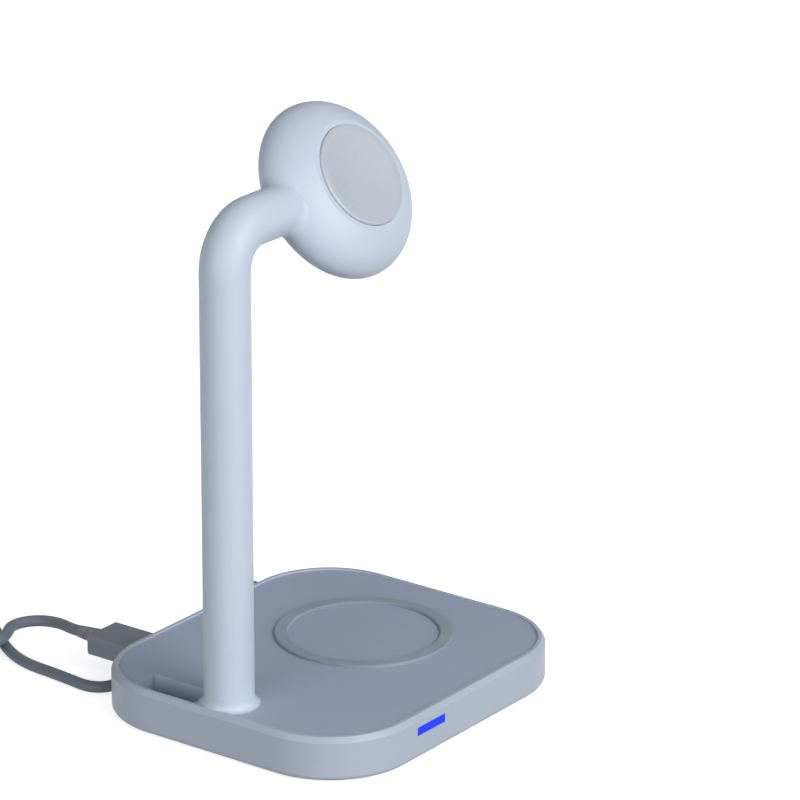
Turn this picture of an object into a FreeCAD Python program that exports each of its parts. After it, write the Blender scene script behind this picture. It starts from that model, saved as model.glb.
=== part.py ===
import FreeCAD, Part
import math
import os
from FreeCAD import Vector as V

# Two-in-one wireless charger, in millimetres.
# Origin: centre of the base's footprint, on the surface that it stands on.
# +Z up, -Y front (indicator light), +Y back (USB port), -X post side.

# ---------------------------------------------------------------- dimensions
BASE_X, BASE_Y, BASE_R = 86.0, 75.5, 20.0   # plan of the base
BASE_Z0, BASE_TOP = 0.5, 10.5               # underside and lip
FOOT_FILLET = 1.2                           # rounding at the foot of the wall
BAND_H, BAND_W = 1.2, 0.85                  # bevelled band round the top
LIP_W = 0.8                                 # flat lip inside the band
TRAY_Z = 10.1                               # recessed floor of the tray
CEIL_Z = 8.4                                # inner face of the tray's floor
WALL = 3.6                                  # wall thickness
COVER_INSET, COVER_Z1 = 3.2, 2.3            # bottom cover and its recess
COVER_GAP = 0.1

SLOT_X0, SLOT_X1 = -40.9, -33.5             # oblong pocket beside the post
SLOT_Y0, SLOT_Y1 = 6.1, 22.8
SLOT_Z = 3.5
SLOT_WALL = 1.1

POST_X, POST_Y = -35.9, -0.1                # post axis
POST_R, POST_RI = 5.5, 4.2
FLARE_R, FLARE_H = 6.8, 2.1                 # flared foot
FOOT_SOLID = 20.0                           # solid foot up to here
WIRE_BORE = 1.6
ELBOW_R = 8.9                               # centreline radius of the elbow
NECK_Z = 116.78
POST_SCREW_DY = 3.2

HEAD_X, HEAD_Y, HEAD_Z = 1.93, -0.1, 116.28  # centre of the charging head
HEAD_TILT = 56.3                            # face normal from the vertical
HEAD_R, HEAD_BACK, HEAD_FRONT = 20.2, 8.6, 11.0
HEAD_FACE = 8.5                             # flat front
HEAD_SPLIT = 5.8                            # joint of housing and front cover
HEAD_WALL = 1.8
NECK_SEAM_X = -21.3
NECK_SPIGOT_R, NECK_SPIGOT_X = 4.9, -14.3
NECK_BLEND = 3.4

COIL_X, COIL_Y = 12.5, 0.0                  # phone coil centre
PORT_X, PORT_Z = -16.6, 5.6                 # USB port axis
PLUG_W, PLUG_T, PLUG_L = 10.6, 4.8, 14.2    # moulded grip of the plug
PLUG_Y0 = 38.0
RELIEF_L = 6.0
CORD_D = 2.6

LED_X0, LED_X1, LED_Z0, LED_Z1 = -18.5, -8.5, 5.9, 7.9

HANK_X, HANK_Y = -32.0, 98.4                # coil of put-away lead
HANK_RM, HANK_W = 15.0, 8.6                 # mean radius, radial width
HANK_Z0, HANK_Z1 = 0.6, 8.8

# route of the lead: control points of its two stretches outside the coil
ROUTE_A = [(-16.6, 58.2, 5.6), (-16.6, 61.0, 5.6), (-15.4, 64.4, 5.4), (-14.6, 68.0, 5.1),
           (-14.9, 71.2, 4.8), (-16.8, 73.8, 4.6), (-19.8, 75.2, 4.6), (-23.2, 75.0, 4.8),
           (-26.9, 73.4, 4.8), (-30.9, 72.3, 4.2), (-35.2, 73.2, 3.1), (-39.0, 75.6, 2.4),
           (-42.4, 79.1, 2.0), (-45.7, 83.0, 1.9)]
ROUTE_B = [(-18.9, 82.2, 1.9), (-22.2, 78.4, 1.5), (-24.9, 74.9, 1.3), (-27.4, 70.9, 1.3),
           (-29.3, 66.1, 1.3), (-30.4, 60.9, 1.3), (-30.9, 55.6, 1.3), (-31.5, 51.2, 1.3),
           (-31.5, 47.0, 1.3), (-30.1, 43.6, 1.3), (-27.5, 41.0, 1.3), (-24.0, 39.7, 1.3),
           (-19.5, 39.6, 1.3), (-14.0, 39.8, 1.3), (-8.0, 40.4, 1.3), (-2.0, 41.8, 1.3),
           (3.6, 43.2, 1.6), (8.4, 43.7, 2.4), (12.5, 43.7, 2.4)]
FAR_X0, FAR_Y, FAR_Z = 12.5, 43.7, 2.4      # far-end plug: relief start, axis

os.makedirs("parts", exist_ok=True)
NODES = {}


def save(name, shape):
    # one closed solid per physical piece; fasteners of one kind share a node
    solids = shape.Solids
    assert solids, name
    for s in solids:
        assert s.isClosed() and s.Volume > 0, name
    out = solids[0] if len(solids) == 1 else Part.makeCompound(solids)
    out.exportStep("parts/%s.step" % name)
    NODES[name] = out
    print("%-22s %2d solid(s) %10.1f mm3" % (name, len(solids), out.Volume))


def rrect_wire(w, d, r, z, cx=0.0, cy=0.0):
    # rounded rectangle in plan
    x0, x1, y0, y1 = cx - w / 2, cx + w / 2, cy - d / 2, cy + d / 2
    k = r * (1 - math.sqrt(0.5))
    e = [Part.makeLine(V(x0 + r, y0, z), V(x1 - r, y0, z)),
         Part.Arc(V(x1 - r, y0, z), V(x1 - k, y0 + k, z), V(x1, y0 + r, z)).toShape(),
         Part.makeLine(V(x1, y0 + r, z), V(x1, y1 - r, z)),
         Part.Arc(V(x1, y1 - r, z), V(x1 - k, y1 - k, z), V(x1 - r, y1, z)).toShape(),
         Part.makeLine(V(x1 - r, y1, z), V(x0 + r, y1, z)),
         Part.Arc(V(x0 + r, y1, z), V(x0 + k, y1 - k, z), V(x0, y1 - r, z)).toShape(),
         Part.makeLine(V(x0, y1 - r, z), V(x0, y0 + r, z)),
         Part.Arc(V(x0, y0 + r, z), V(x0 + k, y0 + k, z), V(x0 + r, y0, z)).toShape()]
    return Part.Wire(e)


def rrect(w, d, r, z0, z1, cx=0.0, cy=0.0):
    return Part.Face(rrect_wire(w, d, r, z0, cx, cy)).extrude(V(0, 0, z1 - z0))


def box(x0, x1, y0, y1, z0, z1):
    return Part.makeBox(x1 - x0, y1 - y0, z1 - z0, V(x0, y0, z0))


def cyl(r, z0, z1, x=0.0, y=0.0):
    return Part.makeCylinder(r, z1 - z0, V(x, y, z0))


def cyl_x(r, x0, x1, y, z):
    return Part.makeCylinder(r, x1 - x0, V(x0, y, z), V(1, 0, 0))


def edges_at_z(shape, z, tol=1e-4):
    return [e for e in shape.Edges
            if abs(e.BoundBox.ZMin - z) < tol and abs(e.BoundBox.ZMax - z) < tol]


def revolve(points):
    # closed (r, s) polygon turned about the Z axis
    poly = [V(r, 0, s) for r, s in points]
    return Part.Face(Part.makePolygon(poly + [poly[0]])).revolve(V(0, 0, 0), V(0, 0, 1), 360)


def revolve_edges(edges):
    return Part.Face(Part.Wire(Part.__sortEdges__(edges))).revolve(V(0, 0, 0), V(0, 0, 1), 360)


def arc3(a, b, c):
    return Part.Arc(V(a[0], 0, a[1]), V(b[0], 0, b[1]), V(c[0], 0, c[1])).toShape()


def seg(a, b):
    return Part.makeLine(V(a[0], 0, a[1]), V(b[0], 0, b[1]))


def stadium(w, h, y0, y1, cx, cz):
    # flat-oval bar along Y
    r = h / 2.0
    c = box(cx - w / 2 + r, cx + w / 2 - r, y0, y1, cz - r, cz + r)
    for sx in (-1, 1):
        c = c.fuse(Part.makeCylinder(r, y1 - y0, V(cx + sx * (w / 2 - r), y0, cz), V(0, 1, 0)))
    return c.removeSplitter()


def bent_path(points):
    # straight runs joined by tangent arcs, radius 0.45 of the shorter run over tan(half turn)
    P = [V(*p) for p in points]
    edges, radii, here = [], [], P[0]
    for i in range(1, len(P) - 1):
        a, b, c = P[i - 1], P[i], P[i + 1]
        u, w = (b - a), (c - b)
        la, lb = u.Length, w.Length
        u.normalize()
        w.normalize()
        turn = math.acos(max(-1.0, min(1.0, u.dot(w))))
        t = 0.45 * min(la, lb)
        rad = t / math.tan(turn / 2)
        radii.append(rad)
        s, e = b - u * t, b + w * t
        bis = (w - u)
        bis.normalize()
        centre = b + bis * (rad / math.cos(turn / 2))
        mid = centre - bis * rad
        edges.append(Part.LineSegment(here, s).toShape())
        edges.append(Part.Arc(s, mid, e).toShape())
        here = e
    edges.append(Part.LineSegment(here, P[-1]).toShape())
    return Part.Wire(edges), radii


def tube(points, d, label):
    path, radii = bent_path(points)
    start = V(*points[0])
    direction = V(*points[1]) - start
    ring = Part.Wire(Part.makeCircle(d / 2.0, start, direction))
    mk = Part.BRepOffsetAPI.MakePipeShell(path)
    mk.setFrenetMode(False)
    mk.add(ring)
    mk.build()
    mk.makeSolid()
    s = mk.shape()
    s = Part.Solid(s) if s.ShapeType == "Shell" else s
    if s.Volume < 0:
        s.reverse()
    print("%s radii (mm):" % label, " ".join("%.1f" % r for r in radii))
    print("%s length %.1f mm, volume %.1f, section x length %.1f"
          % (label, path.Length, s.Volume, math.pi * d * d / 4 * path.Length))
    return s, path.Length


# ---------------------------------------------------------------- foot of the post
# A short flare spreads onto the tray; it stops at the lip's outer edge and at the pocket.
z_f = TRAY_Z + FLARE_H
curve = Part.BezierCurve()
curve.setPoles([V(POST_R, 0, z_f), V(POST_R, 0, z_f - 1.15), V(POST_R + 0.35, 0, TRAY_Z + 0.12),
                V(FLARE_R, 0, TRAY_Z + 0.08)])
foot = revolve_edges([curve.toShape(), seg((FLARE_R, TRAY_Z + 0.08), (FLARE_R, TRAY_Z)),
                      seg((FLARE_R, TRAY_Z), (0, TRAY_Z)), seg((0, TRAY_Z), (0, z_f)),
                      seg((0, z_f), (POST_R, z_f))])
foot.translate(V(POST_X, POST_Y, 0))
foot = foot.common(rrect(BASE_X - 2 * BAND_W, BASE_Y - 2 * BAND_W, BASE_R - BAND_W, TRAY_Z - 1, z_f + 1))
foot = foot.cut(box(SLOT_X0 - 2, SLOT_X1 + 4, SLOT_Y0, SLOT_Y0 + 3, TRAY_Z - 1, z_f + 1))

# ---------------------------------------------------------------- base shell
band_z = BASE_TOP - BAND_H
core = rrect(BASE_X, BASE_Y, BASE_R, BASE_Z0, band_z)
core = core.makeFillet(FOOT_FILLET, edges_at_z(core, BASE_Z0))
band = Part.makeLoft([rrect_wire(BASE_X, BASE_Y, BASE_R, band_z),
                      rrect_wire(BASE_X - 2 * BAND_W, BASE_Y - 2 * BAND_W, BASE_R - BAND_W, BASE_TOP)],
                     True, True)
shell = core.fuse(band)
edge = BAND_W + LIP_W
shell = shell.cut(rrect(BASE_X - 2 * edge, BASE_Y - 2 * edge, BASE_R - edge, TRAY_Z, BASE_TOP + 1))
shell = shell.cut(foot)
cavity = rrect(BASE_X - 2 * WALL, BASE_Y - 2 * WALL, BASE_R - WALL, COVER_Z1, CEIL_Z)
recess = rrect(BASE_X - 2 * COVER_INSET, BASE_Y - 2 * COVER_INSET, BASE_R - COVER_INSET,
               BASE_Z0 - 1, COVER_Z1)
# what stands in the cavity: pocket walls, post boss, screw bosses
keep = box(-39.5, SLOT_X1 + SLOT_WALL, SLOT_Y0 - SLOT_WALL, SLOT_Y1 + SLOT_WALL,
           SLOT_Z - SLOT_WALL + 0.05, CEIL_Z)
keep = keep.fuse(box(-39.5, -30.4, POST_Y - 6.4, SLOT_Y0 - SLOT_WALL, 5.6, CEIL_Z))
COVER_SCREWS = [(sx * 32.5, sy * 27.2) for sx in (-1, 1) for sy in (-1, 1)]
for x, y in COVER_SCREWS:
    keep = keep.fuse(cyl(3.2, COVER_Z1 + 0.1, CEIL_Z, x, y))
BOARD_SCREWS = [(-26.4, -24.0), (-26.4, 21.0), (-14.6, -13.0)]
for x, y in BOARD_SCREWS:
    keep = keep.fuse(cyl(2.2, 5.65, CEIL_Z, x, y))
shell = shell.cut(cavity.cut(keep)).cut(recess)
shell = shell.cut(box(SLOT_X0, SLOT_X1, SLOT_Y0, SLOT_Y1, SLOT_Z, BASE_TOP + 1))
for x, y in COVER_SCREWS:
    shell = shell.cut(cyl(1.25, COVER_Z1, 7.2, x, y))
for x, y in BOARD_SCREWS:
    shell = shell.cut(cyl(1.0, 5.6, 8.1, x, y))
for s in (-1, 1):
    shell = shell.cut(cyl(1.3, 5.0, TRAY_Z + 1, POST_X, POST_Y + s * POST_SCREW_DY))
shell = shell.cut(cyl(WIRE_BORE, 5.0, TRAY_Z + 1, POST_X, POST_Y))
shell = shell.cut(box(POST_X, -30.0, POST_Y - 1.5, POST_Y + 1.5, 5.0, 7.4))
shell = shell.cut(stadium(9.3, 3.5, 33.0, 39.0, PORT_X, PORT_Z))
shell = shell.cut(box(LED_X0, LED_X1, -39.0, -33.0, LED_Z0, LED_Z1))
save("base_shell", shell.removeSplitter())

# ---------------------------------------------------------------- bottom cover, feet, screws
g = COVER_INSET + COVER_GAP
cover = rrect(BASE_X - 2 * g, BASE_Y - 2 * g, BASE_R - g, BASE_Z0, COVER_Z1)
FEET = [(sx * 30.5, sy * 14.5) for sx in (-1, 1) for sy in (-1, 1)]
for x, y in FEET:
    cover = cover.cut(cyl(5.1, BASE_Z0 - 1, BASE_Z0 + 0.6, x, y))
for x, y in COVER_SCREWS:
    cover = cover.cut(cyl(2.5, BASE_Z0 - 1, 1.5, x, y)).cut(cyl(1.35, 0, 3, x, y))
save("bottom_cover", cover)

feet = []
for x, y in FEET:
    f = cyl(5.0, 0.0, BASE_Z0 + 0.6, x, y)
    feet.append(f.makeChamfer(0.25, edges_at_z(f, 0.0)))
save("rubber_feet", Part.makeCompound(feet))


def screw(r_head, t_head, r_shaft, length, x, y, z_head_top, drive):
    # round-headed screw pointing up, head below, cross recess in the head
    s = cyl(r_head, z_head_top - t_head, z_head_top, x, y)
    s = s.makeChamfer(0.2, edges_at_z(s, z_head_top - t_head))
    s = s.fuse(cyl(r_shaft, z_head_top, z_head_top + length, x, y))
    for a in (0, 90):
        bar = box(-drive, drive, -0.22, 0.22, 0, t_head * 0.6)
        bar.rotate(V(0, 0, 0), V(0, 0, 1), a)
        bar.translate(V(x, y, z_head_top - t_head))
        s = s.cut(bar)
    return s


save("cover_screws", Part.makeCompound(
    [screw(2.3, 0.9, 1.25, 5.5, x, y, 1.5, 1.3) for x, y in COVER_SCREWS]))
save("board_screws", Part.makeCompound(
    [screw(1.9, 1.0, 1.0, 3.4, x, y, 4.6, 1.0) for x, y in BOARD_SCREWS]))
save("post_screws", Part.makeCompound(
    [screw(1.75, 1.5, 1.25, 11.0, POST_X, POST_Y + s * POST_SCREW_DY, 5.6, 1.0) for s in (-1, 1)]))

# ---------------------------------------------------------------- inside the base
save("counterweight", rrect(46.0, 46.0, 8.0, COVER_Z1, 3.8, 14.0, 0.0))

carrier = cyl(24.5, 5.0, 5.95, COIL_X, COIL_Y)
carrier = carrier.cut(cyl(6.0, 4.0, 7.0, COIL_X, COIL_Y))
for a in (45, 135, 225, 315):
    carrier = carrier.fuse(cyl(2.0, 3.8, 5.2, COIL_X + 17 * math.cos(math.radians(a)),
                               COIL_Y + 17 * math.sin(math.radians(a))))
carrier = carrier.cut(box(-13, -8.6, -30, 30, 3, 7))
save("coil_carrier", carrier.removeSplitter())
ferrite = cyl(23.6, 5.95, 6.9, COIL_X, COIL_Y).cut(box(-13, -8.6, -30, 30, 3, 8))
save("phone_ferrite", ferrite)
save("phone_coil", cyl(21.0, 6.9, 8.2, COIL_X, COIL_Y).cut(cyl(10.0, 6, 9, COIL_X, COIL_Y)))

ring = revolve([(17.0, TRAY_Z), (20.0, TRAY_Z), (20.0, 10.55), (19.75, 10.7),
                (17.25, 10.7), (17.0, 10.55)])
ring.translate(V(COIL_X, COIL_Y, 0))
save("anti_slip_ring", ring)

# main board along the post side of the coil, socket at the back, indicator at the front
BX0, BX1, BY0, BY1, BZ0, BZ1 = -28.6, -12.2, -32.4, 33.0, 4.6, 5.6
board = box(BX0, BX1, BY0, BY1, BZ0, BZ1)
board = board.cut(box(PORT_X - 4.65, PORT_X + 4.65, 28.6, 34, 4, 6))
for x, y in BOARD_SCREWS:
    board = board.cut(cyl(1.15, 4, 6, x, y))
board = board.cut(cyl(24.8, 4, 6, COIL_X, COIL_Y))
save("main_board", board)

save("control_chips", Part.makeCompound([
    box(-25.0, -19.0, -8.0, -2.0, BZ1, 6.5), box(-24.5, -19.5, 4.0, 9.0, BZ1, 6.4),
    box(-20.0, -17.0, 20.0, 23.0, BZ1, 6.4)]))
parts = []
for x, y in ((-21.0, -19.0), (-21.0, 14.0)):
    ind = rrect(5.6, 5.6, 1.2, BZ1, 7.9, x, y)
    parts.append(ind.makeChamfer(0.3, edges_at_z(ind, 7.9)))
for x, y in ((-22.6, -28.0), (-16.0, -26.4)):
    parts.append(box(x - 1.6, x + 1.6, y - 0.8, y + 0.8, BZ1, 7.1))
save("power_components", Part.makeCompound(parts))
save("indicator_diodes", Part.makeCompound([
    box(x - 0.9, x + 0.9, -32.2, -31.0, BZ1, 7.0) for x in (-17.2, -13.6)]))

bar = box(LED_X0 + 0.02, LED_X1 - 0.02, -37.75, -33.4, LED_Z0 + 0.02, LED_Z1 - 0.02)
bar = bar.fuse(box(LED_X0 - 0.6, LED_X1 + 0.6, -34.1, -33.4, LED_Z0 - 0.2, LED_Z1 + 0.3))
save("indicator_light_bar", bar.removeSplitter())

# USB-C socket sunk into the board's edge
sock = stadium(8.94, 3.2, 28.8, 36.9, PORT_X, PORT_Z)
sock = sock.cut(stadium(8.4, 2.66, 29.4, 38.0, PORT_X, PORT_Z))
save("usb_socket_shell", sock)
tongue = box(PORT_X - 4.15, PORT_X + 4.15, 29.4, 30.8, PORT_Z - 1.0, PORT_Z + 1.0)
tongue = tongue.fuse(box(PORT_X - 3.3, PORT_X + 3.3, 30.8, 35.4, PORT_Z - 0.35, PORT_Z + 0.35))
tongue = tongue.common(stadium(8.36, 2.62, 29.4, 38.0, PORT_X, PORT_Z))
save("usb_socket_tongue", tongue)

# ---------------------------------------------------------------- post, elbow and neck
x_el = POST_X + ELBOW_R
z_el = NECK_Z - ELBOW_R


def bent_bar(r, z0, x1):
    up = cyl(r, z0, z_el, POST_X, POST_Y)
    face = Part.Face(Part.Wire(Part.makeCircle(r, V(POST_X, POST_Y, z_el), V(0, 0, 1))))
    elbow = face.revolve(V(x_el, POST_Y, z_el), V(0, 1, 0), 90)
    return up, elbow, cyl_x(r, x_el, x1, POST_Y, NECK_Z)


up, elbow, neck = bent_bar(POST_R, TRAY_Z, NECK_SEAM_X)
post = up.fuse([elbow, neck, foot, cyl_x(NECK_SPIGOT_R, NECK_SEAM_X - 1, NECK_SPIGOT_X, POST_Y, NECK_Z)])
iu, ie, ineck = bent_bar(POST_RI, FOOT_SOLID, NECK_SPIGOT_X + 1)
post = post.cut(iu).cut(ie).cut(ineck).cut(cyl(WIRE_BORE, TRAY_Z - 1, FOOT_SOLID + 1, POST_X, POST_Y))
for s in (-1, 1):
    post = post.cut(cyl(1.25, TRAY_Z - 1, 17.0, POST_X, POST_Y + s * POST_SCREW_DY))
save("post", post.removeSplitter())

# ---------------------------------------------------------------- charging head
# Built about its own axis (s along the axis, face at +s), then tilted.


def place(shape):
    shape.rotate(V(0, 0, 0), V(1, 0, 0), HEAD_TILT)
    shape.translate(V(HEAD_X, HEAD_Y, HEAD_Z))
    return shape


def dome(rad, back, front, s_end):
    # flattened back and fuller front half in one smooth profile, with a pinhead flat at the pole
    u0, u1 = math.acos(0.8 / rad), math.asin(s_end / front)
    pts = [V(rad * math.cos(u0 * (1 - i / 16.0)), 0, -back * math.sin(u0 * (1 - i / 16.0))) for i in range(17)]
    pts += [V(rad * math.cos(u1 * i / 6.0), 0, front * math.sin(u1 * i / 6.0)) for i in range(1, 7)]
    prof = Part.BSplineCurve()
    prof.interpolate(pts)
    a, b = pts[0], pts[-1]
    return revolve_edges([prof.toShape(), seg((b.x, b.z), (0, b.z)), seg((0, b.z), (0, a.z)),
                          seg((0, a.z), (a.x, a.z))])


outer = dome(HEAD_R, HEAD_BACK, HEAD_FRONT, HEAD_SPLIT)
inner = dome(HEAD_R - HEAD_WALL, HEAD_BACK - HEAD_WALL, HEAD_FRONT - HEAD_WALL, HEAD_SPLIT)
collar_len = HEAD_X - NECK_SEAM_X
lift = NECK_Z - HEAD_Z                        # the neck's axis runs this far above the head's centre
c_y, c_s = lift * math.sin(math.radians(HEAD_TILT)), lift * math.cos(math.radians(HEAD_TILT))


def along_neck(r, x0, length):
    return Part.makeCylinder(r, length, V(x0, c_y, c_s), V(1, 0, 0))


collar = along_neck(POST_R, -collar_len, collar_len - 8.0)
housing = outer.fuse(collar)
edge_pick = [e for e in housing.Edges if e.BoundBox.XMin > -collar_len + 0.5
             and e.BoundBox.XMax < -15.5 and e.Length > 5.0]
housing = housing.makeFillet(NECK_BLEND, edge_pick)
housing = housing.cut(inner)
housing = housing.fuse(along_neck(POST_R - 0.02, -collar_len, collar_len - 14.3))
housing = housing.cut(along_neck(NECK_SPIGOT_R, -collar_len - 1, NECK_SPIGOT_X - NECK_SEAM_X + 1))
housing = housing.cut(along_neck(3.0, -collar_len, collar_len))
save("head_housing", place(housing.removeSplitter()))

uf = math.asin(HEAD_SPLIT / HEAD_FRONT)
ut = math.asin(HEAD_FACE / HEAD_FRONT)
r_s, r_f = HEAD_R * math.cos(uf), HEAD_R * math.cos(ut)
e_rim = Part.Ellipse(V(HEAD_R, 0, 0), V(0, 0, HEAD_FRONT), V(0, 0, 0)).toShape(uf, ut)
PUCK_R = 11.6
pts = [(r_f, HEAD_FACE), (PUCK_R + 0.08, HEAD_FACE), (PUCK_R + 0.08, 7.2), (10.6, 7.2), (10.6, 6.6),
       (12.9, 6.6), (12.9, 4.8), (14.0, 4.8), (14.0, HEAD_SPLIT), (r_s, HEAD_SPLIT)]
cover_f = revolve_edges([e_rim] + [seg(pts[i], pts[i + 1]) for i in range(len(pts) - 1)])
save("head_front_cover", place(cover_f))

# dished charging puck: raised rounded rim round a shallow bowl
r_d, h_d = PUCK_R - 1.5, 1.05
R_d = (r_d * r_d + h_d * h_d) / (2 * h_d)
dish = arc3((r_d, 9.1), (r_d / 2, 9.1 - h_d + R_d - math.sqrt(R_d * R_d - r_d * r_d / 4)), (0, 9.1 - h_d))
puck = revolve_edges([seg((0, 7.2), (PUCK_R, 7.2)), seg((PUCK_R, 7.2), (PUCK_R, 8.65)),
                      arc3((PUCK_R, 8.65), (PUCK_R - 0.13, 8.97), (PUCK_R - 0.45, 9.1)),
                      seg((PUCK_R - 0.45, 9.1), (PUCK_R - 1.5, 9.1)),
                      dish, seg((0, 8.05), (0, 7.2))])
save("charging_puck", place(puck))
save("watch_coil", place(revolve([(4.2, 6.2), (9.8, 6.2), (9.8, 7.15), (4.2, 7.15)])))
save("watch_magnet", place(revolve([(0, 5.3), (3.2, 5.3), (3.2, 7.15), (0, 7.15)])))
save("watch_ferrite", place(revolve([(3.5, 5.3), (10.4, 5.3), (10.4, 6.15), (3.5, 6.15)])))
save("watch_coil_carrier", place(revolve([(0, 4.2), (12.7, 4.2), (12.7, 6.5), (10.6, 6.5),
                                          (10.6, 5.25), (0, 5.25)])))
hb = Part.makeCylinder(10.5, 1.0, V(0, 0, 1.6))
save("head_board", place(hb))
save("head_chips", place(Part.makeCompound([
    Part.makeBox(4.5, 4.5, 0.9, V(1.0, -5.5, 2.6)), Part.makeBox(3.0, 3.0, 0.8, V(-5.5, 2.0, 2.6))])))
save("head_connector", place(Part.makeBox(4.0, 5.0, 2.8, V(-6.0, -2.5, -1.2))))

# ---------------------------------------------------------------- wire harness through the post
WH = [(-28.0, POST_Y, 3.6), (POST_X, POST_Y, 3.6), (POST_X, POST_Y, NECK_Z), (HEAD_X - 6.0, POST_Y, NECK_Z)]
r1, r2, rw = 2.6, ELBOW_R, 0.75
k = 1 - math.sqrt(0.5)
wires = Part.Wire([
    Part.makeLine(V(WH[0][0], POST_Y, 3.6), V(POST_X + r1, POST_Y, 3.6)),
    Part.Arc(V(POST_X + r1, POST_Y, 3.6), V(POST_X + r1 * k, POST_Y, 3.6 + r1 * k),
             V(POST_X, POST_Y, 3.6 + r1)).toShape(),
    Part.makeLine(V(POST_X, POST_Y, 3.6 + r1), V(POST_X, POST_Y, z_el)),
    Part.Arc(V(POST_X, POST_Y, z_el), V(POST_X + r2 * k, POST_Y, NECK_Z - r2 * k),
             V(x_el, POST_Y, NECK_Z)).toShape(),
    Part.makeLine(V(x_el, POST_Y, NECK_Z), V(HEAD_X - 6.0, POST_Y, NECK_Z))])
mk = Part.BRepOffsetAPI.MakePipeShell(wires)
mk.add(Part.Wire(Part.makeCircle(rw, V(WH[0][0], POST_Y, 3.6), V(1, 0, 0))))
mk.build()
mk.makeSolid()
save("wire_harness", mk.shape())
save("harness_connector", box(-28.0, -24.2, POST_Y - 2.5, POST_Y + 2.5, 2.7, BZ0))

# ---------------------------------------------------------------- plugs and lead


def plug_set(move):
    # plug along +Y from y = 0 (front of the grip); metal shell points to -Y
    w, t, ln = PLUG_W, PLUG_T, PLUG_L
    body = box(-w / 2, w / 2, 0, ln, -t / 2, t / 2)
    longs = [e for e in body.Edges if e.BoundBox.YLength > ln - 0.1]
    body = body.makeFillet(0.9, longs)
    back = [e for e in body.Edges if e.BoundBox.YMin > ln - 1e-3]
    body = body.makeChamfer(0.6, back)
    front = [e for e in body.Edges if e.BoundBox.YMax < 1e-3]
    body = body.makeChamfer(0.3, front)
    shell_ = stadium(8.25, 2.4, -6.5, 0.0, 0.0, 0.0).cut(stadium(7.65, 1.8, -7.0, -1.2, 0.0, 0.0))
    # stepped, tapering strain relief
    r0, r1_ = 1.95, CORD_D / 2 + 0.12
    prof = [(0, 0), (r0, 0)]
    n = 3
    for i in range(n):
        za, zb = RELIEF_L * (i + 0.62) / n, RELIEF_L * (i + 1.0) / n
        ra = r0 + (r1_ - r0) * (i + 0.62) / n
        rb = r0 + (r1_ - r0) * (i + 1.0) / n
        prof += [(ra, za)]
        if i < n - 1:
            prof += [(ra - 0.28, za + 0.15), (rb - 0.22, zb - 0.15), (rb, zb)]
        else:
            prof += [(rb, zb)]
    prof += [(0, RELIEF_L)]
    relief = revolve(prof)
    relief.rotate(V(0, 0, 0), V(1, 0, 0), -90)
    relief.translate(V(0, ln, 0))
    return [move(s) for s in (body, shell_, relief)]


def to_port(s):
    s.translate(V(PORT_X, PLUG_Y0, PORT_Z))
    return s


def to_far(s):
    s.rotate(V(0, 0, 0), V(0, 0, 1), 90)
    s.translate(V(FAR_X0 + RELIEF_L + PLUG_L, FAR_Y, FAR_Z))
    return s


b, m, r = plug_set(to_port)
save("plug_grip", b)
save("plug_metal_shell", m)
save("plug_strain_relief", r)
b, m, r = plug_set(to_far)
save("far_plug_grip", b)
save("far_plug_metal_shell", m)
save("far_plug_strain_relief", r)

ta, la = tube(ROUTE_A, CORD_D, "lead_from_plug")
tb, lb = tube(ROUTE_B, CORD_D, "lead_to_far_plug")
save("lead_from_plug", ta)
save("lead_to_far_plug", tb)

sec = Part.Face(Part.Wire([
    Part.makeLine(V(HANK_RM - HANK_W / 2, 0, HANK_Z0), V(HANK_RM + HANK_W / 2, 0, HANK_Z0)),
    Part.makeLine(V(HANK_RM + HANK_W / 2, 0, HANK_Z0), V(HANK_RM + HANK_W / 2, 0, HANK_Z1)),
    Part.makeLine(V(HANK_RM + HANK_W / 2, 0, HANK_Z1), V(HANK_RM - HANK_W / 2, 0, HANK_Z1)),
    Part.makeLine(V(HANK_RM - HANK_W / 2, 0, HANK_Z1), V(HANK_RM - HANK_W / 2, 0, HANK_Z0))]))
hank = sec.revolve(V(0, 0, 0), V(0, 0, 1), 360)
hank = hank.makeFillet(1.2, [e for e in hank.Edges if e.Curve.TypeId == "Part::GeomCircle"
                             and abs(e.BoundBox.ZLength) < 1e-3])
hank.translate(V(HANK_X, HANK_Y, 0))
save("lead_coil", hank)

# strap round the coil on the side away from the charger
tw, tt = 0.6, 12.0
osec = Part.Face(Part.makePolygon([
    V(HANK_RM - HANK_W / 2 - tw, 0, 0), V(HANK_RM + HANK_W / 2 + tw, 0, 0),
    V(HANK_RM + HANK_W / 2 + tw, 0, HANK_Z1 + tw), V(HANK_RM - HANK_W / 2 - tw, 0, HANK_Z1 + tw),
    V(HANK_RM - HANK_W / 2 - tw, 0, 0)]))
tie = osec.revolve(V(0, 0, 0), V(0, 0, 1), 2 * tt)
tie.rotate(V(0, 0, 0), V(0, 0, 1), 90 - tt)
tie.translate(V(HANK_X, HANK_Y, 0))
save("lead_tie", tie.cut(hank))

print("nodes:", len(NODES), " free lead length outside the coil: %.1f mm" % (la + lb))
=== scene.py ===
import math

import bpy
import bmesh
from mathutils import Matrix, Vector


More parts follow.
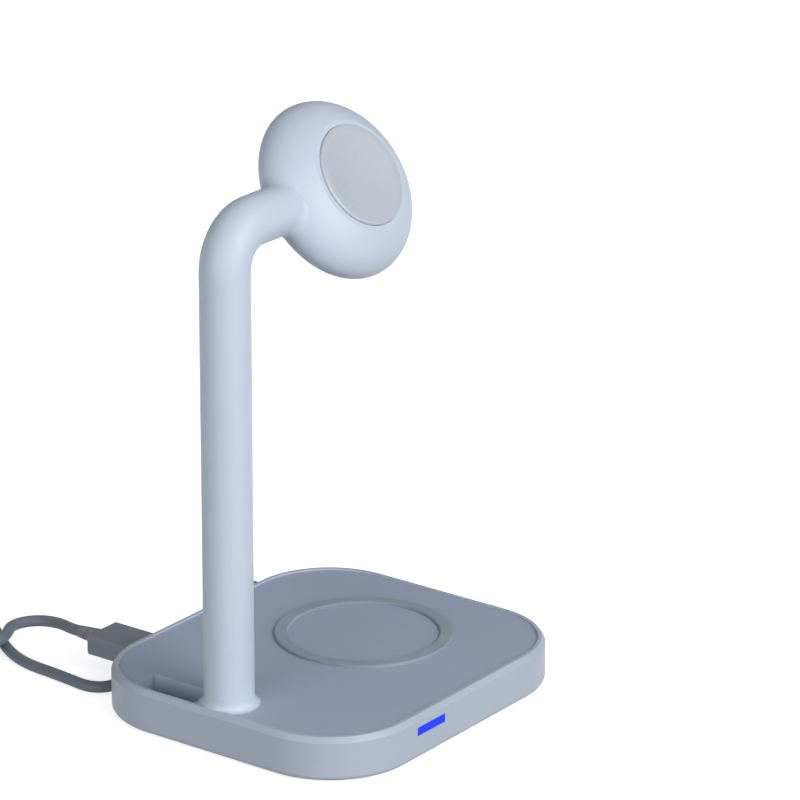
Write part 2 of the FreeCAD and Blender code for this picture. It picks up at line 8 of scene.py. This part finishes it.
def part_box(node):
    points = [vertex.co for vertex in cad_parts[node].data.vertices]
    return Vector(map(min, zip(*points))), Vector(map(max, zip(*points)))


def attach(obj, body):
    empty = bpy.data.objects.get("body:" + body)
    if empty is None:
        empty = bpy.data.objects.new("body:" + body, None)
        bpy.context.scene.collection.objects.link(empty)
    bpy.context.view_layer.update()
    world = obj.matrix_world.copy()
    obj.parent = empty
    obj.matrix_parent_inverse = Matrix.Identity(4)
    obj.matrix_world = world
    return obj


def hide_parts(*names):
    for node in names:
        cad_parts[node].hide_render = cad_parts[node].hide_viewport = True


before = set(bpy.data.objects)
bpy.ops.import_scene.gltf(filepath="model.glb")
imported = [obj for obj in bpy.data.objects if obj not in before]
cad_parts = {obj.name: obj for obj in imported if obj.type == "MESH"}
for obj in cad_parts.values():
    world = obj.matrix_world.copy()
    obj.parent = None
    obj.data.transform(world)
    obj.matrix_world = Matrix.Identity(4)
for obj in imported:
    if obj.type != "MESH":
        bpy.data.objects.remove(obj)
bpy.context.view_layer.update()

scene = bpy.context.scene
MM = 0.001


# ------------------------------------------------------------------ node helpers
def new_mat(name):
    m = bpy.data.materials.new(name)
    m.use_nodes = True
    nt = m.node_tree
    nt.nodes.clear()
    out = nt.nodes.new("ShaderNodeOutputMaterial")
    bsdf = nt.nodes.new("ShaderNodeBsdfPrincipled")
    nt.links.new(bsdf.outputs["BSDF"], out.inputs["Surface"])
    return m, nt, bsdf


def node(nt, kind, **inputs):
    n = nt.nodes.new(kind)
    for k, v in inputs.items():
        n.inputs[k].default_value = v
    return n


def coords(nt):
    return nt.nodes.new("ShaderNodeTexCoord").outputs["Object"]


def noise(nt, vec, scale, detail=3.0, rough=0.55, distortion=0.0):
    n = node(nt, "ShaderNodeTexNoise", Scale=scale, Detail=detail, Roughness=rough, Distortion=distortion)
    nt.links.new(vec, n.inputs["Vector"])
    return n.outputs["Fac"]


def ramp(nt, fac, stops):
    r = nt.nodes.new("ShaderNodeValToRGB")
    while len(r.color_ramp.elements) < len(stops):
        r.color_ramp.elements.new(0.5)
    for e, (p, c) in zip(r.color_ramp.elements, stops):
        e.position = p
        e.color = (c[0], c[1], c[2], 1.0)
    nt.links.new(fac, r.inputs["Fac"])
    return r.outputs["Color"]


def spread(nt, fac, lo, hi, a=0.3, b=0.7):
    r = node(nt, "ShaderNodeMapRange")
    r.inputs["From Min"].default_value = a
    r.inputs["From Max"].default_value = b
    r.inputs["To Min"].default_value = lo
    r.inputs["To Max"].default_value = hi
    nt.links.new(fac, r.inputs["Value"])
    return r.outputs["Result"]


def math_node(nt, op, a, b=None):
    n = nt.nodes.new("ShaderNodeMath")
    n.operation = op
    for i, v in enumerate((a, b)):
        if v is None:
            continue
        if isinstance(v, (int, float)):
            n.inputs[i].default_value = v
        else:
            nt.links.new(v, n.inputs[i])
    return n.outputs[0]


def mix_col(nt, fac, a, b, mode="MIX"):
    n = nt.nodes.new("ShaderNodeMix")
    n.data_type = "RGBA"
    n.blend_type = mode
    fa = [s for s in n.inputs if s.name == "Factor" and s.type == "VALUE"][0]
    ca = [s for s in n.inputs if s.name == "A" and s.type == "RGBA"][0]
    cb = [s for s in n.inputs if s.name == "B" and s.type == "RGBA"][0]
    for sock, v in ((fa, fac), (ca, a), (cb, b)):
        if isinstance(v, (int, float)):
            sock.default_value = v
        elif isinstance(v, (tuple, list)):
            sock.default_value = (v[0], v[1], v[2], 1.0)
        else:
            nt.links.new(v, sock)
    return [s for s in n.outputs if s.type == "RGBA"][0]


def bump(nt, bsdf, layers):
    # layers: (height output, strength, distance in metres), finest last
    prev = None
    for h, strength, dist in layers:
        b = node(nt, "ShaderNodeBump", Strength=strength, Distance=dist)
        nt.links.new(h, b.inputs["Height"])
        if prev is not None:
            nt.links.new(prev, b.inputs["Normal"])
        prev = b.outputs["Normal"]
    nt.links.new(prev, bsdf.inputs["Normal"])


def tint(c, k):
    return tuple(min(1.0, x * k) for x in c)


def plastic(name, col, rough=0.42, var=0.03, grain=0.10, spec=0.5, grain_scale=5200.0, sheen=0.0, wave=0.0):
    """Moulded plastic: spark-eroded grain, faint flow mottling, uneven gloss."""
    m, nt, b = new_mat(name)
    v = coords(nt)
    cloud = noise(nt, v, 38.0, 3.0, 0.5)
    fine = noise(nt, v, grain_scale, 2.0, 0.6)
    mid = noise(nt, v, grain_scale * 0.28, 2.0, 0.5)
    base = ramp(nt, cloud, [(0.28, tint(col, 1 - var)), (0.72, tint(col, 1 + var))])
    speck = ramp(nt, mid, [(0.35, (0.985, 0.985, 0.985)), (0.65, (1.0, 1.0, 1.0))])
    nt.links.new(mix_col(nt, 1.0, base, speck, "MULTIPLY"), b.inputs["Base Color"])
    nt.links.new(spread(nt, fine, rough - 0.05, rough + 0.06), b.inputs["Roughness"])
    b.inputs["Specular IOR Level"].default_value = spec
    if sheen:
        b.inputs["Sheen Weight"].default_value = sheen
        b.inputs["Sheen Roughness"].default_value = 0.5
    layers = [(mid, grain * 0.8, 0.00006), (fine, grain, 0.00003)]
    if wave:
        layers.insert(0, (noise(nt, v, 120.0, 2.0, 0.4), wave, 0.0002))
    bump(nt, b, layers)
    return m


def rubber(name, col, rough=0.7, grain=0.35, scale=3000.0, spec=0.35):
    m, nt, b = new_mat(name)
    v = coords(nt)
    cloud = noise(nt, v, 90.0, 3.0, 0.6)
    fine = noise(nt, v, scale, 3.0, 0.6)
    nt.links.new(ramp(nt, cloud, [(0.3, tint(col, 0.9)), (0.7, tint(col, 1.1))]), b.inputs["Base Color"])
    nt.links.new(spread(nt, fine, rough - 0.08, rough + 0.1), b.inputs["Roughness"])
    b.inputs["Specular IOR Level"].default_value = spec
    b.inputs["Sheen Weight"].default_value = 0.12
    bump(nt, b, [(fine, grain, 0.00005)])
    return m


def metal(name, col, rough=0.28, brushed=(1.0, 1.0, 1.0), scratch=0.12):
    m, nt, b = new_mat(name)
    v = coords(nt)
    mp = node(nt, "ShaderNodeMapping")
    mp.inputs["Scale"].default_value = brushed
    nt.links.new(v, mp.inputs["Vector"])
    lines = noise(nt, mp.outputs["Vector"], 2600.0, 3.0, 0.6)
    cloud = noise(nt, v, 260.0, 3.0, 0.5)
    nt.links.new(ramp(nt, cloud, [(0.3, tint(col, 0.9)), (0.7, tint(col, 1.05))]), b.inputs["Base Color"])
    b.inputs["Metallic"].default_value = 1.0
    nt.links.new(spread(nt, lines, rough - 0.07, rough + 0.12), b.inputs["Roughness"])
    bump(nt, b, [(lines, scratch, 0.00003)])
    return m


def wound_copper(name, axis_obj):
    # fine round winding: rings about the coil's own centre line
    m, nt, b = new_mat(name)
    v = coords(nt)
    mp = node(nt, "ShaderNodeMapping")
    lo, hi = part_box(axis_obj)
    c = (lo + hi) / 2
    mp.inputs["Location"].default_value = (-c.x, -c.y, -c.z)
    nt.links.new(v, mp.inputs["Vector"])
    w = nt.nodes.new("ShaderNodeTexWave")
    w.wave_type = "RINGS"
    w.rings_direction = "SPHERICAL"
    w.inputs["Scale"].default_value = 260.0
    w.inputs["Distortion"].default_value = 0.15
    nt.links.new(mp.outputs["Vector"], w.inputs["Vector"])
    nt.links.new(ramp(nt, w.outputs["Fac"], [(0.1, (0.30, 0.10, 0.035)), (0.8, (0.80, 0.34, 0.14))]), b.inputs["Base Color"])
    b.inputs["Metallic"].default_value = 0.9
    b.inputs["Coat Weight"].default_value = 0.6
    nt.links.new(spread(nt, noise(nt, v, 2500.0), 0.25, 0.4), b.inputs["Roughness"])
    bump(nt, b, [(w.outputs["Fac"], 0.6, 0.0003)])
    return m


def board_mat(name):
    m, nt, b = new_mat(name)
    v = coords(nt)
    cell = nt.nodes.new("ShaderNodeTexVoronoi")
    cell.distance = "MANHATTAN"
    cell.inputs["Scale"].default_value = 420.0
    nt.links.new(v, cell.inputs["Vector"])
    tracks = ramp(nt, cell.outputs["Distance"], [(0.06, (0.30, 0.25, 0.08)), (0.10, (0.010, 0.060, 0.022)), (0.62, (0.012, 0.085, 0.030)), (0.9, (0.02, 0.12, 0.045))])
    nt.links.new(mix_col(nt, 0.25, tracks, ramp(nt, noise(nt, v, 300.0), [(0.3, (0.01, 0.06, 0.02)), (0.7, (0.02, 0.11, 0.04))])), b.inputs["Base Color"])
    nt.links.new(spread(nt, noise(nt, v, 3000.0), 0.3, 0.45), b.inputs["Roughness"])
    b.inputs["Coat Weight"].default_value = 0.3
    bump(nt, b, [(cell.outputs["Distance"], 0.15, 0.00005)])
    return m


# ------------------------------------------------------------------ palette
PALE = (0.560, 0.640, 0.755)
# painted shade: the base shell's copy of the housing colour, darker all over to stand in for the shade the
# base sits in
PALE_BASE_PAINTED_SHADE = (0.440, 0.500, 0.590)


def housing_mat(name, tray=False):
    """Pale blue-grey satin housing plastic with a spark-eroded micro grain; with tray=True it is the base
    shell's copy, darkened all over and further on the tray floor as painted shade.
    """
    pale = PALE_BASE_PAINTED_SHADE if tray else PALE
    m, nt, b = new_mat(name)
    v = coords(nt)
    cloud = noise(nt, v, 26.0, 3.0, 0.5)
    peel = noise(nt, v, 900.0, 2.0, 0.5)
    fine = noise(nt, v, 5200.0, 2.0, 0.6)
    base = ramp(nt, cloud, [(0.28, tint(pale, 0.975)), (0.72, tint(pale, 1.02))])
    speck = ramp(nt, fine, [(0.36, (0.965, 0.968, 0.972)), (0.60, (1.0, 1.0, 1.0))])
    col = mix_col(nt, 1.0, base, speck, "MULTIPLY")
    if tray:
        # painted shade: the upward-facing tray floor below the rim is multiplied darker, less so in blue,
        # standing in for the shade that falls on it
        sep = nt.nodes.new("ShaderNodeSeparateXYZ")
        nt.links.new(v, sep.inputs[0])
        geo = nt.nodes.new("ShaderNodeNewGeometry")
        sepn = nt.nodes.new("ShaderNodeSeparateXYZ")
        nt.links.new(geo.outputs["Normal"], sepn.inputs[0])
        up = spread(nt, sepn.outputs["Z"], 0.0, 1.0, 0.9, 0.99)
        low = spread(nt, sep.outputs["Z"], 1.0, 0.0, 0.01015, 0.01030)
        f = math_node(nt, "MULTIPLY", up, low)
        col = mix_col(nt, f, col, mix_col(nt, 1.0, col, TRAY_PAINTED_SHADE, "MULTIPLY"))
    nt.links.new(col, b.inputs["Base Color"])
    nt.links.new(spread(nt, peel, 0.40, 0.50), b.inputs["Roughness"])
    b.inputs["Specular IOR Level"].default_value = 0.45
    b.inputs["Sheen Weight"].default_value = 0.05
    b.inputs["Sheen Roughness"].default_value = 0.4
    bump(nt, b, [(peel, 0.05, 0.0001), (fine, 0.16, 0.00003)])
    return m


# painted shade: multiplier that darkens the tray floor
TRAY_PAINTED_SHADE = (0.80, 0.84, 0.92)
housing = housing_mat("housing_satin")
housing_base_painted_shade = housing_mat("housing_satin_base_painted_shade", tray=True)


def indicator_mat():
    m, nt, b = new_mat("indicator_blue")
    v = coords(nt)
    n = noise(nt, v, 700.0, 3.0, 0.5)
    c = ramp(nt, n, [(0.2, (0.010, 0.036, 0.78)), (0.8, (0.014, 0.046, 0.86))])
    nt.links.new(mix_col(nt, 1.0, c, (0.35, 0.35, 0.35), "MULTIPLY"), b.inputs["Base Color"])
    nt.links.new(c, b.inputs["Emission Color"])
    b.inputs["Emission Strength"].default_value = 0.85
    nt.links.new(spread(nt, n, 0.42, 0.50), b.inputs["Roughness"])
    b.inputs["Specular IOR Level"].default_value = 0.1
    bump(nt, b, [(noise(nt, v, 3000.0), 0.05, 0.00003)])
    return m


MATS = {
    "underside": plastic("underside_matt", (0.43, 0.49, 0.58), rough=0.55, grain=0.22),
    "puck": plastic("puck_smooth", (0.50, 0.545, 0.61), rough=0.30, grain=0.03, spec=0.5),
    "foot_rubber": rubber("foot_rubber", (0.11, 0.125, 0.15), rough=0.75),
    "seat_silicone": rubber("seat_silicone", (0.27, 0.325, 0.40), rough=0.62, grain=0.2),
    "steel": metal("screw_steel", (0.55, 0.56, 0.58), rough=0.3),
    "ballast": metal("ballast_steel", (0.42, 0.43, 0.45), rough=0.45, brushed=(1.0, 0.08, 1.0), scratch=0.3),
    "inner": plastic("inner_black", (0.035, 0.037, 0.042), rough=0.5, grain=0.2),
    "ferrite": rubber("ferrite_sheet", (0.035, 0.034, 0.036), rough=0.6, grain=0.15, scale=1500.0),
    "copper_base": wound_copper("copper_winding_base", "phone_coil"),
    "copper_head": wound_copper("copper_winding_head", "watch_coil"),
    "board": board_mat("board_green"),
    "chip": plastic("chip_epoxy", (0.022, 0.022, 0.024), rough=0.45, grain=0.25),
    "component": plastic("component_grey", (0.10, 0.10, 0.105), rough=0.5, grain=0.3),
    "diode": plastic("diode_clear", (0.75, 0.76, 0.72), rough=0.25, grain=0.05),
    "indicator": indicator_mat(),
    "socket_metal": metal("socket_nickel", (0.62, 0.62, 0.63), rough=0.2, brushed=(1.0, 0.15, 1.0)),
    "socket_black": plastic("socket_black", (0.02, 0.02, 0.022), rough=0.4, grain=0.1),
    "magnet": metal("magnet_nickel", (0.60, 0.60, 0.62), rough=0.22),
    "wire": plastic("wire_jacket", (0.55, 0.07, 0.05), rough=0.45, grain=0.08),
    "lead": rubber("lead_jacket", (0.150, 0.182, 0.225), rough=0.52, grain=0.18, scale=2600.0, spec=0.45),
    "plug": plastic("plug_overmould", (0.215, 0.245, 0.290), rough=0.48, grain=0.25, spec=0.45),
    "tie": rubber("tie_strap", (0.060, 0.068, 0.080), rough=0.8, grain=0.9, scale=1800.0),
}

NODE_MAT = {
    "base_shell": housing_base_painted_shade, "post": housing, "head_housing": housing, "head_front_cover": housing,
    "bottom_cover": MATS["underside"], "charging_puck": MATS["puck"], "rubber_feet": MATS["foot_rubber"],
    "anti_slip_ring": MATS["seat_silicone"], "cover_screws": MATS["steel"], "board_screws": MATS["steel"],
    "post_screws": MATS["steel"], "counterweight": MATS["ballast"], "phone_coil": MATS["copper_base"],
    "watch_coil": MATS["copper_head"], "phone_ferrite": MATS["ferrite"], "watch_ferrite": MATS["ferrite"],
    "coil_carrier": MATS["inner"], "watch_coil_carrier": MATS["inner"], "head_connector": MATS["inner"],
    "harness_connector": MATS["inner"], "main_board": MATS["board"], "head_board": MATS["board"],
    "control_chips": MATS["chip"], "head_chips": MATS["chip"], "power_components": MATS["component"],
    "indicator_diodes": MATS["diode"], "indicator_light_bar": MATS["indicator"],
    "usb_socket_shell": MATS["socket_metal"], "plug_metal_shell": MATS["socket_metal"],
    "far_plug_metal_shell": MATS["socket_metal"], "usb_socket_tongue": MATS["socket_black"],
    "watch_magnet": MATS["magnet"], "wire_harness": MATS["wire"], "lead_from_plug": MATS["lead"],
    "lead_to_far_plug": MATS["lead"], "lead_coil": MATS["lead"], "plug_grip": MATS["plug"],
    "plug_strain_relief": MATS["plug"], "far_plug_grip": MATS["plug"], "far_plug_strain_relief": MATS["plug"],
    "lead_tie": MATS["tie"],
}
for name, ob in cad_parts.items():
    mat = NODE_MAT[name]
    if not ob.material_slots:
        ob.data.materials.append(mat)
    for s in ob.material_slots:
        s.material = mat

# ------------------------------------------------------------------ the lead
# the route's control points, moved where the photograph shows the strands a little elsewhere
ROUTE_A = [(-16.6, 58.2, 5.6), (-16.6, 61.0, 5.6), (-15.5, 64.3, 5.4), (-15.2, 67.7, 5.1),
           (-15.7, 70.8, 4.8), (-17.4, 73.1, 4.6), (-20.1, 74.2, 4.6), (-23.1, 73.7, 4.8),
           (-26.4, 71.6, 4.8), (-30.5, 71.2, 4.2), (-35.1, 73.1, 3.1), (-39.0, 75.7, 2.4),
           (-42.4, 79.1, 2.0), (-45.7, 83.0, 1.9)]
ROUTE_B = [(-18.9, 82.2, 1.9), (-22.1, 78.3, 1.5), (-24.4, 74.6, 1.3), (-27.0, 70.6, 1.3),
           (-29.2, 66.1, 1.3), (-30.5, 60.9, 1.3), (-30.8, 55.6, 1.3), (-31.2, 51.1, 1.3),
           (-31.7, 47.0, 1.3), (-32.0, 43.3, 1.3), (-30.6, 40.3, 1.3), (-27.8, 38.9, 1.3),
           (-24.0, 39.2, 1.3), (-19.5, 39.6, 1.3), (-14.0, 39.8, 1.3), (-8.0, 40.4, 1.3),
           (-2.0, 41.8, 1.3), (3.6, 43.2, 1.6), (8.4, 43.7, 2.4), (12.5, 43.7, 2.4)]
CORD_D = 2.6
COIL_C, COIL_TURN_PTS = (-32.0, 98.4), 16
RADII, LEVELS = (12.3, 15.0, 17.7), (1.9, 4.6, 7.3)
# the bundle's nine places, (column, layer), in the order that the turns fill them
PLACES = [(2, 0), (1, 0), (0, 0), (0, 1), (0, 2), (1, 2), (1, 1), (2, 1), (2, 2)]
T_IN, T_OUT = -131.7, -51.0     # where the lead joins and leaves the coil, degrees


def smooth(x):
    x = max(0.0, min(1.0, x))
    return x * x * (3 - 2 * x)


def coil_points():
    """Nine clockwise turns, each changing place at its own angle, so that none runs through another."""
    total = (T_IN + 360 - T_OUT) + 8 * 360
    n = int(round(total / 360 * COIL_TURN_PTS))
    widen = 1.0 / math.cos(math.pi / COIL_TURN_PTS)
    pts = []
    for i in range(2, n - 1):
        run = total * i / n                       # degrees travelled, clockwise
        th = T_IN - run
        k = min(8, int(run // 360))
        # angle within this turn, measured clockwise from the place where the lead comes in
        a = run - 360 * k
        place = [RADII[PLACES[k][0]], LEVELS[PLACES[k][1]]]
        if k < 8:
            start = 345 - 20.0 * k                # later turns change place first
            f = smooth((a - start) / 30.0)
            if a < start and k > 0:
                f = 0.0
            nxt = [RADII[PLACES[k + 1][0]], LEVELS[PLACES[k + 1][1]]]
            place = [place[j] + (nxt[j] - place[j]) * f for j in (0, 1)]
        else:
            g = smooth((a - 100) / 75.0)          # the last turn leaves on the outside and comes down
            h = smooth((a - 150) / 120.0)
            place = [place[0] + 2.9 * g, place[1] + (1.9 - place[1]) * h]
        r = place[0]
        if k == 0:
            r += 2.9 * (1 - smooth(a / 32.0))
        r += 0.10 * math.sin(math.radians(2 * th + 40 * k)) - 0.08 * math.cos(math.radians(3 * th))
        z = place[1] - 0.3 * (1 - math.sin(math.radians(th)))
        z = max(z, 1.3)
        pts.append((COIL_C[0] + r * widen * math.cos(math.radians(th)),
                    COIL_C[1] + r * widen * math.sin(math.radians(th)), z))
    return pts


def lead_curve():
    pts = ROUTE_A + coil_points() + ROUTE_B
    cu = bpy.data.curves.new("lead", "CURVE")
    cu.dimensions = "3D"
    sp = cu.splines.new("NURBS")
    sp.points.add(len(pts) - 1)
    for p, q in zip(sp.points, pts):
        p.co = (q[0] * MM, q[1] * MM, q[2] * MM, 1.0)
    sp.order_u = 3
    sp.use_endpoint_u = True
    sp.resolution_u = 6
    cu.resolution_u = 6
    cu.bevel_depth = CORD_D / 2 * MM
    cu.bevel_resolution = 6
    cu.use_fill_caps = True
    ob = bpy.data.objects.new("lead", cu)
    scene.collection.objects.link(ob)
    cu.materials.append(MATS["lead"])
    return ob


lead = lead_curve()
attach(lead, "root")
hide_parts("lead_from_plug", "lead_to_far_plug", "lead_coil")

# ------------------------------------------------------------------ camera
AZ, EL, ROLL = math.radians(-53.52), math.radians(19.95), math.radians(0.15)
back = Vector((math.sin(AZ) * math.cos(EL), -math.cos(AZ) * math.cos(EL), math.sin(EL)))
right = Vector((math.cos(AZ), math.sin(AZ), 0.0))
up = back.cross(right)
r2 = math.cos(ROLL) * right + math.sin(ROLL) * up
u2 = -math.sin(ROLL) * right + math.cos(ROLL) * up
cam_data = bpy.data.cameras.new("camera")
cam_data.sensor_fit = "HORIZONTAL"
cam_data.sensor_width = 36.0
cam_data.lens = 215.65
cam_data.clip_start, cam_data.clip_end = 0.05, 100.0
cam = bpy.data.objects.new("camera", cam_data)
scene.collection.objects.link(cam)
m = Matrix((r2, u2, back)).transposed().to_4x4()
m.translation = Vector((-0.77730, -0.59387, 0.42410))
cam.matrix_world = m
scene.camera = cam

# ------------------------------------------------------------------ floor, light
bm = bmesh.new()
bmesh.ops.create_grid(bm, x_segments=8, y_segments=8, size=12.0)
me = bpy.data.meshes.new("floor")
bm.to_mesh(me)
bm.free()
floor = bpy.data.objects.new("floor", me)
scene.collection.objects.link(floor)
fm, nt, b = new_mat("floor_white")
fn = noise(nt, coords(nt), 6.0, 2.0, 0.5)
nt.links.new(ramp(nt, fn, [(0.3, (0.90, 0.90, 0.905)), (0.7, (0.92, 0.92, 0.92))]), b.inputs["Base Color"])
b.inputs["Roughness"].default_value = 0.8
b.inputs["Specular IOR Level"].default_value = 0.1
b.inputs["Emission Color"].default_value = (1.0, 1.0, 1.0, 1.0)
b.inputs["Emission Strength"].default_value = 0.70
me.materials.append(fm)
floor.visible_diffuse = False

world = bpy.data.worlds.new("studio")
world.use_nodes = True
wn = world.node_tree
wn.nodes.clear()
wo = wn.nodes.new("ShaderNodeOutputWorld")
bg = wn.nodes.new("ShaderNodeBackground")
tc = wn.nodes.new("ShaderNodeTexCoord")
sx = wn.nodes.new("ShaderNodeSeparateXYZ")
wn.links.new(tc.outputs["Generated"], sx.inputs[0])
mr = wn.nodes.new("ShaderNodeMapRange")
mr.inputs["From Min"].default_value = -1.0
mr.inputs["From Max"].default_value = 1.0
wn.links.new(sx.outputs["Z"], mr.inputs["Value"])
wr = wn.nodes.new("ShaderNodeValToRGB")
# dim room round the two soft boxes: a paler band at the horizon and a darker ground
for p_, c_ in ((0.46, (0.08, 0.083, 0.09)), (0.53, (0.22, 0.223, 0.23)), (0.72, (0.22, 0.223, 0.23)),
               (0.86, (0.16, 0.163, 0.17))):
    e_ = wr.color_ramp.elements.new(p_)
    e_.color = (c_[0], c_[1], c_[2], 1.0)
wr.color_ramp.elements[0].color = (0.08, 0.083, 0.09, 1.0)
wr.color_ramp.elements[-1].color = (0.16, 0.163, 0.17, 1.0)
wn.links.new(mr.outputs["Result"], wr.inputs["Fac"])
wn.links.new(wr.outputs["Color"], bg.inputs["Color"])
bg.inputs["Strength"].default_value = 1.0
wn.links.new(bg.outputs["Background"], wo.inputs["Surface"])
scene.world = world

B_H = Vector((math.sin(AZ), -math.cos(AZ), 0.0))


def area(name, phi, elev, dist, size, power, colour, aim=(0.0, 0.0, 0.06)):
    # phi: degrees to the right of the camera's own direction
    p, e = math.radians(phi), math.radians(elev)
    d = (B_H * math.cos(p) + right * math.sin(p)) * math.cos(e) + Vector((0, 0, math.sin(e)))
    li = bpy.data.lights.new(name, "AREA")
    li.shape = "RECTANGLE"
    li.size, li.size_y = size
    li.energy = power
    li.color = colour
    ob = bpy.data.objects.new(name, li)
    scene.collection.objects.link(ob)
    ob.location = Vector(aim) + d * dist
    ob.rotation_mode = "QUATERNION"
    ob.rotation_quaternion = (-d).to_track_quat("-Z", "Y")
    return ob


area("key", 48, 26, 1.10, (0.80, 0.90), 11.2, (1.0, 0.995, 0.985), aim=(0.0, 0.0, 0.045))
area("fill", -32, 13, 1.10, (0.80, 0.60), 4.7, (0.985, 0.992, 1.0))
area("back", 150, 40, 1.10, (0.80, 0.60), 1.2, (0.985, 0.992, 1.0))

scene.view_settings.view_transform = "Standard"
scene.view_settings.look = "None"
scene.view_settings.exposure = 0.0
scene.view_settings.gamma = 1.0
